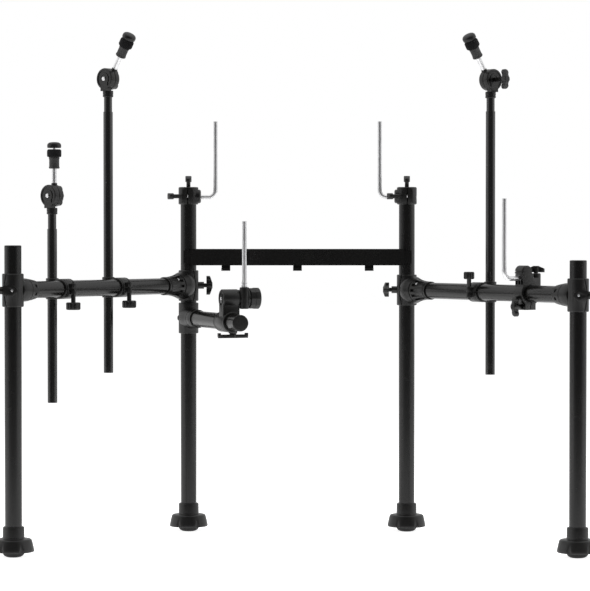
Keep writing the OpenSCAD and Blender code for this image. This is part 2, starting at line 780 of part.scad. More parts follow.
module left_tom_holder() tom_holder(LEFT);
module right_tom_holder() tom_holder(RIGHT);
module left_tom_top_screw() tom_top_screw(LEFT);
module right_tom_top_screw() tom_top_screw(RIGHT);
module left_tom_side_screw() tom_side_screw(LEFT);
module right_tom_side_screw() tom_side_screw(RIGHT);
module left_tom_rod() tom_rod(LEFT);
module right_tom_rod() tom_rod(RIGHT);

// Tee collar on the left inner post with the arm's socket
module snare_post_clamp() {
    mouth = 78;
    screw_head = 3.2;
    color(moulding) on_snare_arm() difference() {
        union() {
            post_collar(collar_height);
            rotate([0, 90, 0]) rotate_extrude()
                polygon([[0, 8], [27, 8], [24.5, 26], [23, 36], [22.2, 48], [22, mouth - 1], [21.2, mouth], [0, mouth]]);
            rotate([0, 0, -130]) translate([collar_radius - 2, 0, 0]) rotate([0, 90, 0]) bevelled_disc(6.5, 0, screw_head + 2, 1);
        }
        translate([0, 0, -collar_height]) cylinder(r = pipe_bore, h = 2 * collar_height);
        translate([collar_radius + 2, 0, 0]) rotate([0, 90, 0]) cylinder(r = tube_r, h = mouth);
    }
}

// Arm with the plug in its end
module snare_arm() {
    inset = collar_radius + 2;
    plug_depth = 16;
    plug_lip = 1.5;
    on_snare_arm() {
        color(paint) translate([inset, 0, 0]) rotate([0, 90, 0]) pipe(tube_r, tube_wall, snare_reach - plug_lip - inset);
        color(moulding) translate([snare_reach - plug_lip - plug_depth, 0, 0]) rotate([0, 90, 0]) union() {
            cylinder(r = tube_r - tube_wall, h = plug_depth);
            translate([0, 0, plug_depth]) cylinder(r1 = tube_r, r2 = tube_r - 1, h = plug_lip);
        }
    }
}

// Sleeve on the arm, upright block and the knuckle's fixed barrel
module snare_rod_clamp() {
    block_half = 15;
    lever_boss = 10;
    color(moulding) on_snare_arm() difference() {
        union() {
            translate([clamp_middle, 0, 0]) rotate([0, 90, 0])
                bevelled_disc(rod_clamp_radius, -rod_clamp_width / 2, rod_clamp_width / 2, collar_chamfer);
            translate([knuckle_place - block_half, barrel_start, 0]) cube([2 * block_half, barrel_end - barrel_start, knuckle_rise]);
            translate([knuckle_place, 0, knuckle_rise]) rotate([-90, 0, 0]) bevelled_disc(barrel_radius, barrel_start, barrel_end, 2);
            translate([lever_place, lever_across, 0]) rotate([180, 0, 0]) bevelled_disc(lever_boss, 0, rod_clamp_radius + 2, 1);
        }
        rotate([0, 90, 0]) cylinder(r = pipe_bore, h = 2 * snare_reach);
        translate([knuckle_place, barrel_start + 3, knuckle_rise]) rotate([-90, 0, 0]) cylinder(r = pivot_radius + running_fit, h = through);
        translate([lever_place, lever_across, -through]) cylinder(r = bolt_bore, h = through);
    }
}

// Toothed ring and block that hold the upright rod
module snare_knuckle() {
    tooth_radius = barrel_radius - 1.5;
    block_half = 24;
    color(moulding) on_snare_arm() translate([knuckle_place, 0, knuckle_rise]) difference() {
        union() {
            translate([0, barrel_end + gap, 0]) rotate([-90, 0, 0]) bevelled_disc(tooth_radius, 0, tooth_end - barrel_end, 1);
            translate([0, tooth_end - over, 0]) rotate([-90, 0, 0]) bevelled_disc(barrel_radius, 0, knuckle_end - tooth_end + over, 2);
            translate([snare_rod_ahead, snare_rod_across, 0]) bevelled_disc(11, -block_half, block_half + 2, 1.5);
        }
        rotate([-90, 0, 0]) cylinder(r = pivot_radius + running_fit, h = through);
        translate([snare_rod_ahead, snare_rod_across, 0]) cylinder(r = l_rod_bore, h = through, center = true);
    }
}

// Large faceted knob; its shank is the knuckle's pivot
module snare_knob() {
    facets = 10;
    width = knob_end - knuckle_end;
    color(moulding) on_snare_arm() translate([knuckle_place, 0, knuckle_rise]) rotate([-90, 0, 0]) union() {
        translate([0, 0, barrel_start + 5]) cylinder(r = pivot_radius, h = knuckle_end - barrel_start);
        intersection() {
            translate([0, 0, knuckle_end + gap]) bevelled_disc(snare_knob_radius, 0, width - gap, 2.5);
            translate([0, 0, knuckle_end]) cylinder(r = snare_knob_radius, h = width, $fn = facets);
        }
    }
}

// Wide lever under the ring
module snare_lever() {
    lever_half = 36;
    boss_bottom = -rod_clamp_radius - 2;
    color(moulding) on_snare_arm() translate([lever_place, lever_across, boss_bottom - gap]) union() {
        translate([0, 0, -2]) cylinder(r = bolt_radius, h = 6);
        translate([0, 0, -10]) bevelled_disc(8, 0, 10, 1);
        translate([0, 0, -10]) linear_extrude(height = 8) polygon([[-5, -lever_half + 4], [-2, -lever_half], [3, -lever_half],
            [6, -12], [6, 12], [3, lever_half], [-2, lever_half], [-5, lever_half - 4], [-7, 0]]);
    }
}

// Straight upright rod with two memory rings above the block
module snare_rod() {
    low = knuckle_rise - 22;
    high = snare_rod_top - snare_height;
    ring_low = knuckle_rise + 26 + gap;
    color(chrome) on_snare_arm() translate([knuckle_place + snare_rod_ahead, snare_rod_across, 0]) union() {
        bevelled_disc(l_rod_r, low, high, 1);
        bevelled_disc(l_rod_r + 1.4, ring_low, ring_low + 5, 0.6);
        bevelled_disc(l_rod_r + 1.4, ring_low + 8, ring_low + 12, 0.6);
    }
}

// Places its children on the right wing pipe at the side tom's clamp
module at_side_tom() {
    on_wing(RIGHT) translate([side_tom_place, 0, 0]) children();
}

lower_bolt_z = -side_clamp_radius - 2;
upper_bolt_y = -tube_r - 7.5;
side_nut_span = 40;
upper_boss_top = 46;
lower_ear_half = 15;

module side_tom_clamp() {
    half = side_clamp_width / 2;
    hood_top = 64;
    hood_radius = 15;
    hood_front = upper_bolt_y + side_nut_span / 2 + 1.5;
    block_low = 12;
    color(moulding) at_side_tom() difference() {
        union() {
            rotate([0, 90, 0]) bevelled_disc(side_clamp_radius, -half, half, 1.5);
            translate([-half + 1, -8, block_low]) cube([2 * half - 2, 30, upper_boss_top - block_low]);
            translate([0, hood_front + hood_radius, hood_top - hood_radius]) rotate([0, 90, 0])
                bevelled_disc(hood_radius, -half + 1, half - 1, 2);
            translate([0, upper_bolt_y, 0]) bevelled_disc(11, 0, upper_boss_top, 1.5);
            translate([-half + 3, upper_bolt_y, 14]) cube([2 * half - 6, 24, 22]);
            translate([-half + 2, -lower_ear_half, lower_bolt_z - 8]) cube([2 * half - 4, 2 * lower_ear_half, 18]);
        }
        rotate([0, 90, 0]) cylinder(r = pipe_bore, h = through, center = true);
        translate([0, 0, side_rod_rise]) rotate([-90, 0, 0]) cylinder(r = l_rod_bore, h = through, center = true);
        translate([0, 0, lower_bolt_z]) rotate([-90, 0, 0]) cylinder(r = bolt_bore, h = through, center = true);
        translate([0, upper_bolt_y, 2]) cylinder(r = bolt_bore, h = through);
        translate([-through / 2, -1, -through]) cube([through, 2, through - tube_r + 2]);
    }
}

module side_tom_upper_nut() {
    color(moulding) at_side_tom() translate([0, upper_bolt_y, upper_boss_top + gap])
        rotate([0, 0, -55]) wing_screw(side_nut_span, 8, 2, -side_rod_rise + l_rod_r + 4);
}

module side_tom_lower_nut() {
    neck = side_clamp_radius - lower_ear_half + gap;
    color(moulding) at_side_tom() translate([0, lower_ear_half + gap, lower_bolt_z])
        rotate([-90, 0, 0]) rotate([0, 0, 90]) wing_screw(wing_span, 8, neck, -2 * lower_ear_half);
}

module side_tom_rod() {
    tail = 20;
    color(chrome) at_side_tom() translate([0, 0, side_rod_rise]) rotate([0, 0, 90])
        bent_rod(-tail, side_rod_reach, side_rod_top - right_wing_height - side_rod_rise);
}

left_inner_post();
right_inner_post();
inner_feet();
cross_bar();
left_wing_pipe();
left_inner_clamp();
left_outer_clamp();
left_clamp_jaws();
left_inner_wing_screw();
left_outer_wing_screw();
left_outer_post();
left_outer_foot();
right_wing_pipe();
right_inner_clamp();
right_outer_clamp();
right_clamp_jaws();
right_inner_wing_screw();
right_outer_wing_screw();
right_outer_post();
right_outer_foot();
hihat_boom_clamp();
hihat_clamp_knob();
left_boom_clamp();
left_clamp_knob();
right_boom_clamp();
right_clamp_knob();
hihat_boom();
left_boom();
right_boom();
hihat_boom_upper();
left_boom_upper();
right_boom_upper();
hihat_tilter_nut();
left_tilter_nut();
right_tilter_nut();
hihat_rod();
left_cymbal_rod();
right_cymbal_rod();
hihat_tilter_head();
left_tilter_head();
right_tilter_head();
left_tom_holder();
right_tom_holder();
left_tom_top_screw();
right_tom_top_screw();
left_tom_side_screw();
right_tom_side_screw();
left_tom_rod();
right_tom_rod();
snare_post_clamp();
snare_arm();
snare_rod_clamp();
snare_knuckle();
snare_knob();
snare_lever();
snare_rod();
side_tom_clamp();
side_tom_upper_nut();
side_tom_lower_nut();
side_tom_rod();
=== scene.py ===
# %% [markdown]
# # The rack of an electronic drum kit
# The real object is a folding frame of black steel pipe, with moulded clamps that hold cymbal booms,
# chrome rods for the drums and an arm for the snare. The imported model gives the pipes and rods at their
# real size. This lesson dresses it: finishes first, then the moulded pieces one after another.

# %% The frame
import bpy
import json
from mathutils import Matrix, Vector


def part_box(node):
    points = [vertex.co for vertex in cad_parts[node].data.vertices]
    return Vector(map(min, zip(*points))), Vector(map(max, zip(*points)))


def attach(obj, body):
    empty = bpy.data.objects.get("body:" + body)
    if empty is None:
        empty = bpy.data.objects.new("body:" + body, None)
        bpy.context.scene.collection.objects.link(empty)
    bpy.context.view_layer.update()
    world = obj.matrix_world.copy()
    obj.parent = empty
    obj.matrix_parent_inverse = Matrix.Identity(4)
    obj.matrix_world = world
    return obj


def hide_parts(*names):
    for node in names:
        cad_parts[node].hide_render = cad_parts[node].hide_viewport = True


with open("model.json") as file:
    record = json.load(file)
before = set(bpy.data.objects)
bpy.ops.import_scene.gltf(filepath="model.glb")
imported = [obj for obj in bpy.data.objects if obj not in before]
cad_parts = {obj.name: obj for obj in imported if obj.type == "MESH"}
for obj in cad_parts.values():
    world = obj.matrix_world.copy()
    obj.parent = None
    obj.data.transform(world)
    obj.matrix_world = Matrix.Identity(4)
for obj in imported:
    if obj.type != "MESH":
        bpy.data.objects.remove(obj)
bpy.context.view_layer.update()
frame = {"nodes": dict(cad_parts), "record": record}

# %% Tools of this lesson
import json
import math
import bmesh
import bpy
from mathutils import Matrix, Vector

MM = 0.001
scene = bpy.context.scene
scene.view_settings.view_transform = "Standard"

# %% [markdown]
# ## The camera
# The photograph was taken from far away with a long lens, a little above the wing pipes, almost square to the
# cross bar. The place, the turn and the lens below come from the posts, feet and bar in the picture, so the
# render lines up with it. The picture is 590 by 591 pixels, and Blender's sensor width is for the longer
# side. A camera placed by eye would do for a studio view, but not for laying the render over the photograph.

# %% Camera
PICTURE_HEIGHT = 591
FOCAL_PIXELS = 2642.8
SENSOR = 36.0
FAR_END = 100
CAMERA_PLACE = Vector((64.6, -6132.6, 725.8)) * MM
CAMERA_YAW = math.radians(0.635)
CAMERA_PITCH = math.radians(1.388)

camera_data = bpy.data.cameras.new("camera")
camera_data.sensor_width = SENSOR
camera_data.lens = FOCAL_PIXELS / PICTURE_HEIGHT * SENSOR
camera_data.clip_end = FAR_END
camera = bpy.data.objects.new("camera", camera_data)
scene.collection.objects.link(camera)
camera.location = CAMERA_PLACE
camera.rotation_euler = (math.pi / 2 - CAMERA_PITCH, 0, CAMERA_YAW)
scene.camera = camera
print("camera: lens", round(camera_data.lens, 1), "mm")

# %% [markdown]
# ## Studio
# A product photograph of black pipe is made on a white ground, between two tall white walls, with a dark room
# behind the camera. The pipes mirror the walls as pale bands near their edges, and the dark room as a
# near-black stripe down the middle. So the world is white to the camera, and what mirrored rays see of it is
# dark in front, white at both sides and a little darker behind. The lamps give only the soft, even light.

# %% Floor
FLOOR_SIZE = 40.0


def make_floor():
    shape = bmesh.new()
    bmesh.ops.create_grid(shape, x_segments=1, y_segments=1, size=FLOOR_SIZE / 2)
    mesh = bpy.data.meshes.new("studio_floor")
    shape.to_mesh(mesh)
    shape.free()
    floor = bpy.data.objects.new("studio_floor", mesh)
    scene.collection.objects.link(floor)
    return floor


studio_floor = make_floor()
print("floor:", FLOOR_SIZE, "m wide")

# %% [markdown]
# ## Shader maths
# A material or a world is a net of nodes, and each sum in it is a Math node of its own. Linking them by hand
# is hard to read. The class below wraps a socket, so that a sum is written as a Python expression and adds
# its own nodes.

# %% A wrapper for shader sockets


class Value:
    """A shader socket that can be used in a Python expression; each operator adds its Math node."""

    def __init__(self, tree, socket):
        self.tree = tree
        self.socket = socket

    def node(self, kind, settings=None, output=0, **inputs):
        made = self.tree.nodes.new(kind)
        for name, value in (settings or {}).items():
            setattr(made, name, value)
        for name, value in inputs.items():
            key = int(name[1:]) if name[1:].isdigit() else name.replace("_", " ")
            self.connect(value, made.inputs[key])
        return Value(self.tree, made.outputs[output])

    def connect(self, value, socket):
        if isinstance(value, Value):
            self.tree.links.new(value.socket, socket)
        else:
            socket.default_value = value

    def maths(self, operation, first, second=0.0):
        return self.node("ShaderNodeMath", {"operation": operation}, i0=first, i1=second)

    def __add__(self, other):
        return self.maths("ADD", self, other)

    def __radd__(self, other):
        return self.maths("ADD", other, self)

    def __sub__(self, other):
        return self.maths("SUBTRACT", self, other)

    def __rsub__(self, other):
        return self.maths("SUBTRACT", other, self)

    def __mul__(self, other):
        return self.maths("MULTIPLY", self, other)

    def __rmul__(self, other):
        return self.maths("MULTIPLY", other, self)

    def between(self, low, high):
        """0 below low, 1 above high, and smooth between them."""
        return self.node("ShaderNodeMapRange", {"interpolation_type": "SMOOTHSTEP"},
                         Value=self, From_Min=low, From_Max=high)


def mix_colours(share, first, second):
    """A colour between two, by a share from 0 to 1."""
    return share.node("ShaderNodeMix", {"data_type": "RGBA"}, output=2, i0=share, i6=first, i7=second)


# %% World
WHITE = (1, 1, 1, 1)
ROOM_END = -0.88
WALLS_FROM = -0.05
WALLS_END = 0.1
BEHIND_FROM = 0.8
ROOM_LEVEL = 0.1
WALL_LEVEL = 1.0
BEHIND_LEVEL = 0.65
SOFT_LEVEL = 0.42


def ray_kinds(start):
    """Two masks: rays that show the background itself, and rays that a shiny surface mirrors."""
    path = start.tree.nodes.new("ShaderNodeLightPath")
    names = ("Is Camera Ray", "Is Transmission Ray", "Is Glossy Ray")
    seen, through, mirrored = [Value(start.tree, path.outputs[name]) for name in names]
    return start.maths("MAXIMUM", seen, through), mirrored


def make_world():
    world = bpy.data.worlds.new("studio")
    scene.world = world
    world.use_nodes = True
    tree = world.node_tree
    background = tree.nodes["Background"]
    start = Value(tree, None)
    direction = start.node("ShaderNodeTexCoord")
    to_back = start.node("ShaderNodeSeparateXYZ", output=1, Vector=direction)
    shown, mirrored = ray_kinds(start)
    walls = to_back.between(ROOM_END, WALLS_FROM)
    behind = to_back.between(WALLS_END, BEHIND_FROM)
    level = ROOM_LEVEL + (WALL_LEVEL - ROOM_LEVEL) * walls - (WALL_LEVEL - BEHIND_LEVEL) * behind
    strength = shown + (1 - shown) * ((1 - mirrored) * SOFT_LEVEL + mirrored * level)
    strength.connect(strength, background.inputs["Strength"])
    background.inputs["Color"].default_value = WHITE


make_world()
print("world:", "room", ROOM_LEVEL, "walls", WALL_LEVEL, "behind", BEHIND_LEVEL)

# %% [markdown]
# The floor is lit from itself for the camera, so it stays white to the horizon, and its own paint adds only
# what the lamps give, which keeps a faint shadow round the feet. Far in front of the rack it is darker paint,
# so the pipes mirror a dark room there.

# %% Floor paint
FLOOR_NEAR = (0.5, 0.5, 0.5, 1)
FLOOR_FRONT = (0.12, 0.12, 0.12, 1)
FLOOR_GLOW = 0.86
FLOOR_MIRRORED = 0.5
DARK_FROM = -3.0
BRIGHT_FROM = -0.8


def paint_floor(floor):
    material = bpy.data.materials.new("studio_white")
    material.use_nodes = True
    tree = material.node_tree
    paint = tree.nodes["Principled BSDF"]
    start = Value(tree, None)
    place = Value(tree, tree.nodes.new("ShaderNodeTexCoord").outputs["Object"])
    depth = start.node("ShaderNodeSeparateXYZ", output=1, Vector=place)
    shown, mirrored = ray_kinds(start)
    near = depth.between(DARK_FROM, BRIGHT_FROM)
    start.connect(shown * FLOOR_GLOW + mirrored * near * FLOOR_MIRRORED, paint.inputs["Emission Strength"])
    start.connect(mix_colours(near, FLOOR_FRONT, FLOOR_NEAR), paint.inputs["Base Color"])
    paint.inputs["Emission Color"].default_value = WHITE
    paint.inputs["Roughness"].default_value = 0.9
    paint.inputs["Specular IOR Level"].default_value = 0.0
    floor.data.materials.append(material)


paint_floor(studio_floor)
print("floor paint:", FLOOR_NEAR[0], "near,", FLOOR_FRONT[0], "in front")

# %% [markdown]
# Three soft boxes give the even light: one at each side and one above. Mirrored in the pipes they would be
# hard white bars. The world already gives the pipes their bands, so shiny surfaces don't see the boxes.

# %% Lamps
SOFT_BOXES = {
    "left_box": {"place": (-3.0, -1.3, 1.5), "aim": (0, 0, 0.6), "size": (1.3, 3.2), "power": 115},
    "right_box": {"place": (3.0, -1.3, 1.5), "aim": (0, 0, 0.6), "size": (1.3, 3.2), "power": 115},
    "top_box": {"place": (0, 0.5, 4.2), "aim": (0, 0, 0.5), "size": (3.0, 2.0), "power": 95},
}


def soft_box(name, place, aim, size, power):
    data = bpy.data.lights.new(name, "AREA")
    data.shape = "RECTANGLE"
    data.size, data.size_y = size
    data.energy = power
    lamp = bpy.data.objects.new(name, data)
    lamp.visible_glossy = False
    scene.collection.objects.link(lamp)
    lamp.location = place
    lamp.rotation_euler = (Vector(aim) - Vector(place)).to_track_quat("-Z", "Y").to_euler()


for name, settings in SOFT_BOXES.items():
    soft_box(name, **settings)
print("lamps:", ", ".join(SOFT_BOXES))

# %% [markdown]
# ## Finishes
# Each finish is one function. Powder coat has a very fine orange-peel skin, and on the booms it is glossier
# than on the posts. Moulded plastic has a grained skin, chrome is smooth with faint draw lines, rubber is
# dull with a dusty cast, and felt is the blackest of all. One plain black for everything would be quicker,
# but the pieces could then not be told apart where they meet.

# %% A blank material


def blank(name):
    material = bpy.data.materials.new(name)
    material.use_nodes = True
    tree = material.node_tree
    surface = tree.nodes["Principled BSDF"]
    start = Value(tree, None)
    place = Value(tree, tree.nodes.new("ShaderNodeTexCoord").outputs["Object"])
    return material, surface, start, place


def noise(place, scale, detail=3.0, roughness=0.5):
    return place.node("ShaderNodeTexNoise", Vector=place, Scale=scale, Detail=detail, Roughness=roughness)


def bump(height, strength, distance):
    return height.node("ShaderNodeBump", Height=height, Strength=strength, Distance=distance)


# %% Powder coat on the pipes


def powder_coat(name="black_powder_coat", gloss=0.5, roughness=0.22):
    material, surface, start, place = blank(name)
    skin = noise(place, scale=900.0, detail=2.0)
    cloud = noise(place, scale=7.0)
    handled = noise(place, scale=40.0, detail=4.0).between(0.55, 0.75)
    colour = mix_colours(cloud, (0.0022, 0.0021, 0.002, 1), (0.0036, 0.0034, 0.0032, 1))
    surface.inputs["Specular IOR Level"].default_value = gloss
    start.connect(colour, surface.inputs["Base Color"])
    start.connect(roughness + 0.05 * cloud + 0.05 * handled, surface.inputs["Roughness"])
    start.connect(bump(skin, strength=0.12, distance=0.0002), surface.inputs["Normal"])
    return material


# %% Moulded black plastic


def moulded_plastic():
    material, surface, start, place = blank("moulded_black")
    grain = noise(place, scale=1500.0, detail=2.0)
    cloud = noise(place, scale=25.0)
    colour = mix_colours(cloud, (0.0028, 0.0027, 0.0026, 1), (0.0048, 0.0046, 0.0044, 1))
    surface.inputs["Specular IOR Level"].default_value = 0.5
    start.connect(colour, surface.inputs["Base Color"])
    start.connect(0.3 + 0.1 * cloud, surface.inputs["Roughness"])
    start.connect(bump(grain, strength=0.2, distance=0.0002), surface.inputs["Normal"])
    return material


# %% Foot rubber


def foot_rubber():
    material, surface, start, place = blank("foot_rubber")
    grain = noise(place, scale=600.0, detail=4.0)
    dust = noise(place, scale=30.0, detail=4.0).between(0.45, 0.8)
    colour = mix_colours(dust, (0.016, 0.016, 0.016, 1), (0.028, 0.027, 0.026, 1))
    start.connect(colour, surface.inputs["Base Color"])
    start.connect(0.55 + 0.2 * dust, surface.inputs["Roughness"])
    start.connect(bump(grain, strength=0.25, distance=0.0003), surface.inputs["Normal"])
    return material


# %% Chrome plate


def chrome_plate():
    material, surface, start, place = blank("chrome_plate")
    haze = noise(place, scale=60.0)
    lines = noise(place, scale=500.0, detail=2.0)
    surface.inputs["Metallic"].default_value = 1.0
    surface.inputs["Base Color"].default_value = (0.92, 0.92, 0.93, 1)
    start.connect(0.32 + 0.08 * haze, surface.inputs["Roughness"])
    start.connect(bump(lines, strength=0.04, distance=0.0001), surface.inputs["Normal"])
    return material


# %% Felt


def pressed_felt():
    material, surface, start, place = blank("pressed_felt")
    fibres = noise(place, scale=1800.0, detail=5.0, roughness=0.7)
    tufts = noise(place, scale=350.0, detail=4.0)
    colour = mix_colours(tufts, (0.003, 0.003, 0.003, 1), (0.007, 0.007, 0.0075, 1))
    surface.inputs["Specular IOR Level"].default_value = 0.2
    surface.inputs["Sheen Weight"].default_value = 0.06
    surface.inputs["Sheen Roughness"].default_value = 0.5
    surface.inputs["Roughness"].default_value = 0.95
    start.connect(colour, surface.inputs["Base Color"])
    start.connect(bump(fibres, strength=0.6, distance=0.0006), surface.inputs["Normal"])
    return material


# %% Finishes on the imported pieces
FINISHES = {
    "rack_paint": powder_coat(),
    "moulded_plastic": moulded_plastic(),
    "foot_rubber": foot_rubber(),
    "chrome": chrome_plate(),
    "cymbal_felt": pressed_felt(),
}
boom_coat = powder_coat("glossy_boom_coat", gloss=1.0, roughness=0.14)
slot_of = {part["node"]: part["material_slot"] for part in frame["record"]["subparts"]}
for name, node in frame["nodes"].items():
    node.data.materials.clear()
    node.data.materials.append(boom_coat if name.endswith("_boom") else FINISHES[slot_of[name]])
print("finishes:", ", ".join(FINISHES))

# %% [markdown]
# ## Places
# Every moulded piece is built round its own axis in millimetres and then put in place by a matrix. The places
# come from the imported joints: the wings swing about the inner posts, the clamps sit at both ends of a wing,
# and the cymbal rods tilt about the hinges of their tilters. Places typed from a drawing would do as well,
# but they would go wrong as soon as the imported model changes.

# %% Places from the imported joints
record = frame["record"]
joints = record["behaviour"]["joints"]
joint_place = {joint["name"]: Vector(joint["pos_m"]) for joint in joints if "pos_m" in joint}
mount_place = {mount["name"]: Vector(mount["pos_m"]) for mount in record["mounts"]}
body_of = {node: body for body, nodes in record["behaviour"]["bodies"].items() for node in nodes}
wing_length = (mount_place["left_outer_foot_face"] - mount_place["left_inner_foot_face"]).length
print("wing", round(wing_length / MM), "mm long,", len(joint_place), "joints with a place")

# %% Angles seen in the photograph
SIDES = ("left", "right")
WING_ANGLE = math.radians(55)
BOLT_ANGLE = math.radians(125)
SNARE_ANGLE = math.radians(20.5)
HINGE_ANGLE = math.radians(175)
BOOM_SIDE = {"hihat": "left", "left": "left", "right": "right"}
ROD_LEAN = {"hihat": 0, "left": math.radians(33), "right": math.radians(33)}

# %% Matrices
MILLIMETRES = Matrix.Scale(MM, 4)
TO_X = Matrix.Rotation(math.pi / 2, 4, "Y")
TO_Y = Matrix.Rotation(-math.pi / 2, 4, "X")


def turn(angle, axis="Z"):
    return Matrix.Rotation(angle, 4, axis)


def move(x, y, z):
    """A step in millimetres, for use inside a place."""
    return Matrix.Translation((x, y, z))


def upright_place(point):
    """Millimetres round the upright axis through a point, from the floor up."""
    return Matrix.Translation((point.x, point.y, 0)) @ MILLIMETRES


def wing_place(side, origin=None):
    """Millimetres along the wing (X), towards the player (Y) and up (Z)."""
    origin = origin or joint_place[side + "_wing_swing"]
    mirror = Matrix.Scale(-1, 4, (1, 0, 0)) if side == "right" else Matrix.Identity(4)
    return Matrix.Translation(origin) @ mirror @ turn(math.pi + WING_ANGLE) @ MILLIMETRES


def clamp_place(side, end):
    """A wing clamp at the inner or outer end: its socket points along X."""
    place = wing_place(side)
    return place @ move(wing_length / MM, 0, 0) @ turn(math.pi) if end == "outer" else place


def hinge_place(key):
    """A tilter: X runs along its hinge, the rod leans to -Y."""
    return wing_place(BOOM_SIDE[key], joint_place[key + "_cymbal_tilt"]) @ turn(HINGE_ANGLE)


def arm_place():
    """The snare arm: X runs along it, Y to the player's right."""
    return Matrix.Translation(joint_place["snare_arm_swing"]) @ turn(SNARE_ANGLE - math.pi / 2) @ MILLIMETRES


# %% [markdown]
# ## Mesh tools
# Four tools make every moulded piece. `turned` spins a profile, and `scalloped` then draws its rim in, which
# gives lobes. `prism` lifts an outline. `moulding` joins such solids, cuts others out of them, rounds the
# edges that stay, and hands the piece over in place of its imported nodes. Box modelling by hand would give a
# cleaner mesh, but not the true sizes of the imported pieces.

# %% Turned and lifted solids, in millimetres
STEPS = 72
FINE_STEPS = 96
MERGE = 1e-4


def turned(profile, steps=STEPS, ring=False):
    """A solid of revolution round Z. The profile is (radius, height) points; a ring's profile is a loop."""
    shape = bmesh.new()
    corners = [shape.verts.new((radius, 0, height)) for radius, height in profile]
    after = corners[1:] + corners[:1] if ring else corners[1:]
    lines = [shape.edges.new(pair) for pair in zip(corners, after)]
    bmesh.ops.spin(shape, geom=corners + lines, cent=(0, 0, 0), axis=(0, 0, 1), angle=2 * math.pi,
                   steps=steps, use_merge=True)
    bmesh.ops.remove_doubles(shape, verts=shape.verts, dist=MERGE)
    bmesh.ops.recalc_face_normals(shape, faces=shape.faces)
    return shape


def tube(inner, outer, low, high):
    return turned([(inner, low), (outer, low), (outer, high), (inner, high)], ring=True)


def rod(radius, low, high, steps):
    return turned([(0, low), (radius, low), (radius, high), (0, high)], steps)


def prism(outline, low, high):
    """A solid over an outline of (x, y) points, from one height to another."""
    shape = bmesh.new()
    face = shape.faces.new([shape.verts.new((x, y, low)) for x, y in outline])
    lifted = bmesh.ops.extrude_face_region(shape, geom=[face])
    top = [item for item in lifted["geom"] if isinstance(item, bmesh.types.BMVert)]
    bmesh.ops.translate(shape, verts=top, vec=(0, 0, high - low))
    bmesh.ops.recalc_face_normals(shape, faces=shape.faces)
    return shape


def box(low, high):
    (x0, y0, z0), (x1, y1, z1) = low, high
    return prism([(x0, y0), (x1, y0), (x1, y1), (x0, y1)], z0, z1)


def placed(shape, matrix):
    bmesh.ops.transform(shape, matrix=matrix, verts=shape.verts)
    return shape


# %% Lobes


def scalloped(shape, count, centre, radius, start):
    """Draws a turned shape in at round bites, whose centres stand on a circle."""
    share = 2 * math.pi / count
    for vert in shape.verts:
        across = vert.co.xy.length
        angle = math.atan2(vert.co.y, vert.co.x) - start
        off = (angle + share / 2) % share - share / 2
        sideways = centre * math.sin(off)
        if across == 0 or abs(sideways) >= radius:
            continue
        limit = centre * math.cos(off) - math.sqrt(radius ** 2 - sideways ** 2)
        if across > limit:
            vert.co.xy *= limit / across
    return shape


# %% Solids as objects, in metres
WELD = 2e-6
FLAT_WITHIN = math.radians(0.4)


def as_object(shape):
    """A scene object from a bmesh, with its faces turned outwards."""
    bmesh.ops.recalc_face_normals(shape, faces=shape.faces)
    mesh = bpy.data.meshes.new("solid")
    shape.to_mesh(mesh)
    shape.free()
    made = bpy.data.objects.new("solid", mesh)
    scene.collection.objects.link(made)
    return made


def gathered(shapes, place):
    """One object from several solids, put in place."""
    whole = bmesh.new()
    for shape in shapes:
        part = bpy.data.meshes.new("part")
        shape.to_mesh(part)
        shape.free()
        whole.from_mesh(part)
        bpy.data.meshes.remove(part)
    return as_object(placed(whole, place))


def packed_solid(node):
    """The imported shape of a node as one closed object, with its flat faces whole."""
    whole = bmesh.new()
    whole.from_mesh(frame["nodes"][node].data)
    bmesh.ops.remove_doubles(whole, verts=whole.verts, dist=WELD)
    bmesh.ops.dissolve_limit(whole, angle_limit=FLAT_WITHIN, verts=whole.verts, edges=whole.edges)
    return as_object(whole)


# %% Joining, cutting and rounding
ROUND_FROM = math.radians(28)
SMOOTH_TO = math.radians(38)


def shaped(base, helpers, rounding):
    """The base's mesh with each helper joined or cut out, and its edges rounded by so many millimetres."""
    for helper, operation in helpers:
        cutter = base.modifiers.new("cut", "BOOLEAN")
        cutter.operation = operation
        cutter.solver = "EXACT"
        cutter.use_self = operation == "DIFFERENCE"
        cutter.object = helper
    if rounding:
        edges = base.modifiers.new("rounding", "BEVEL")
        edges.width = rounding * MM
        edges.segments = 2
        edges.limit_method = "ANGLE"
        edges.angle_limit = ROUND_FROM
    bpy.context.view_layer.update()
    return bpy.data.meshes.new_from_object(base.evaluated_get(bpy.context.evaluated_depsgraph_get()))


# %% Finished pieces
new_pieces = []


def moulding(name, base, nodes, slot, cuts=(), place=None, added=(), rounding=0.5, body=None, finish=None):
    """A finished piece: the base object with solids added and cut, its edges rounded."""
    helpers = [(gathered([shape], place), "UNION") for shape in added]
    if cuts:
        helpers.append((gathered(cuts, place), "DIFFERENCE"))
    mesh = shaped(base, helpers, rounding)
    for helper in [base] + [helper for helper, _ in helpers]:
        bpy.data.objects.remove(helper)
    mesh.name = name
    mesh.materials.clear()
    mesh.materials.append(finish or FINISHES[slot])
    mesh.polygons.foreach_set("use_smooth", [True] * len(mesh.polygons))
    mesh.set_sharp_from_angle(angle=SMOOTH_TO)
    piece = bpy.data.objects.new(name, mesh)
    scene.collection.objects.link(piece)
    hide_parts(*nodes)
    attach(piece, body or body_of[nodes[0]])
    new_pieces.append(name)


def detail(name, shapes, place, body, slot, nodes=(), rounding=0.0, finish=None):
    """A piece made only of its own solids."""
    solid = gathered(shapes, place)
    moulding(name, solid, list(nodes), slot, rounding=rounding, body=body, finish=finish)


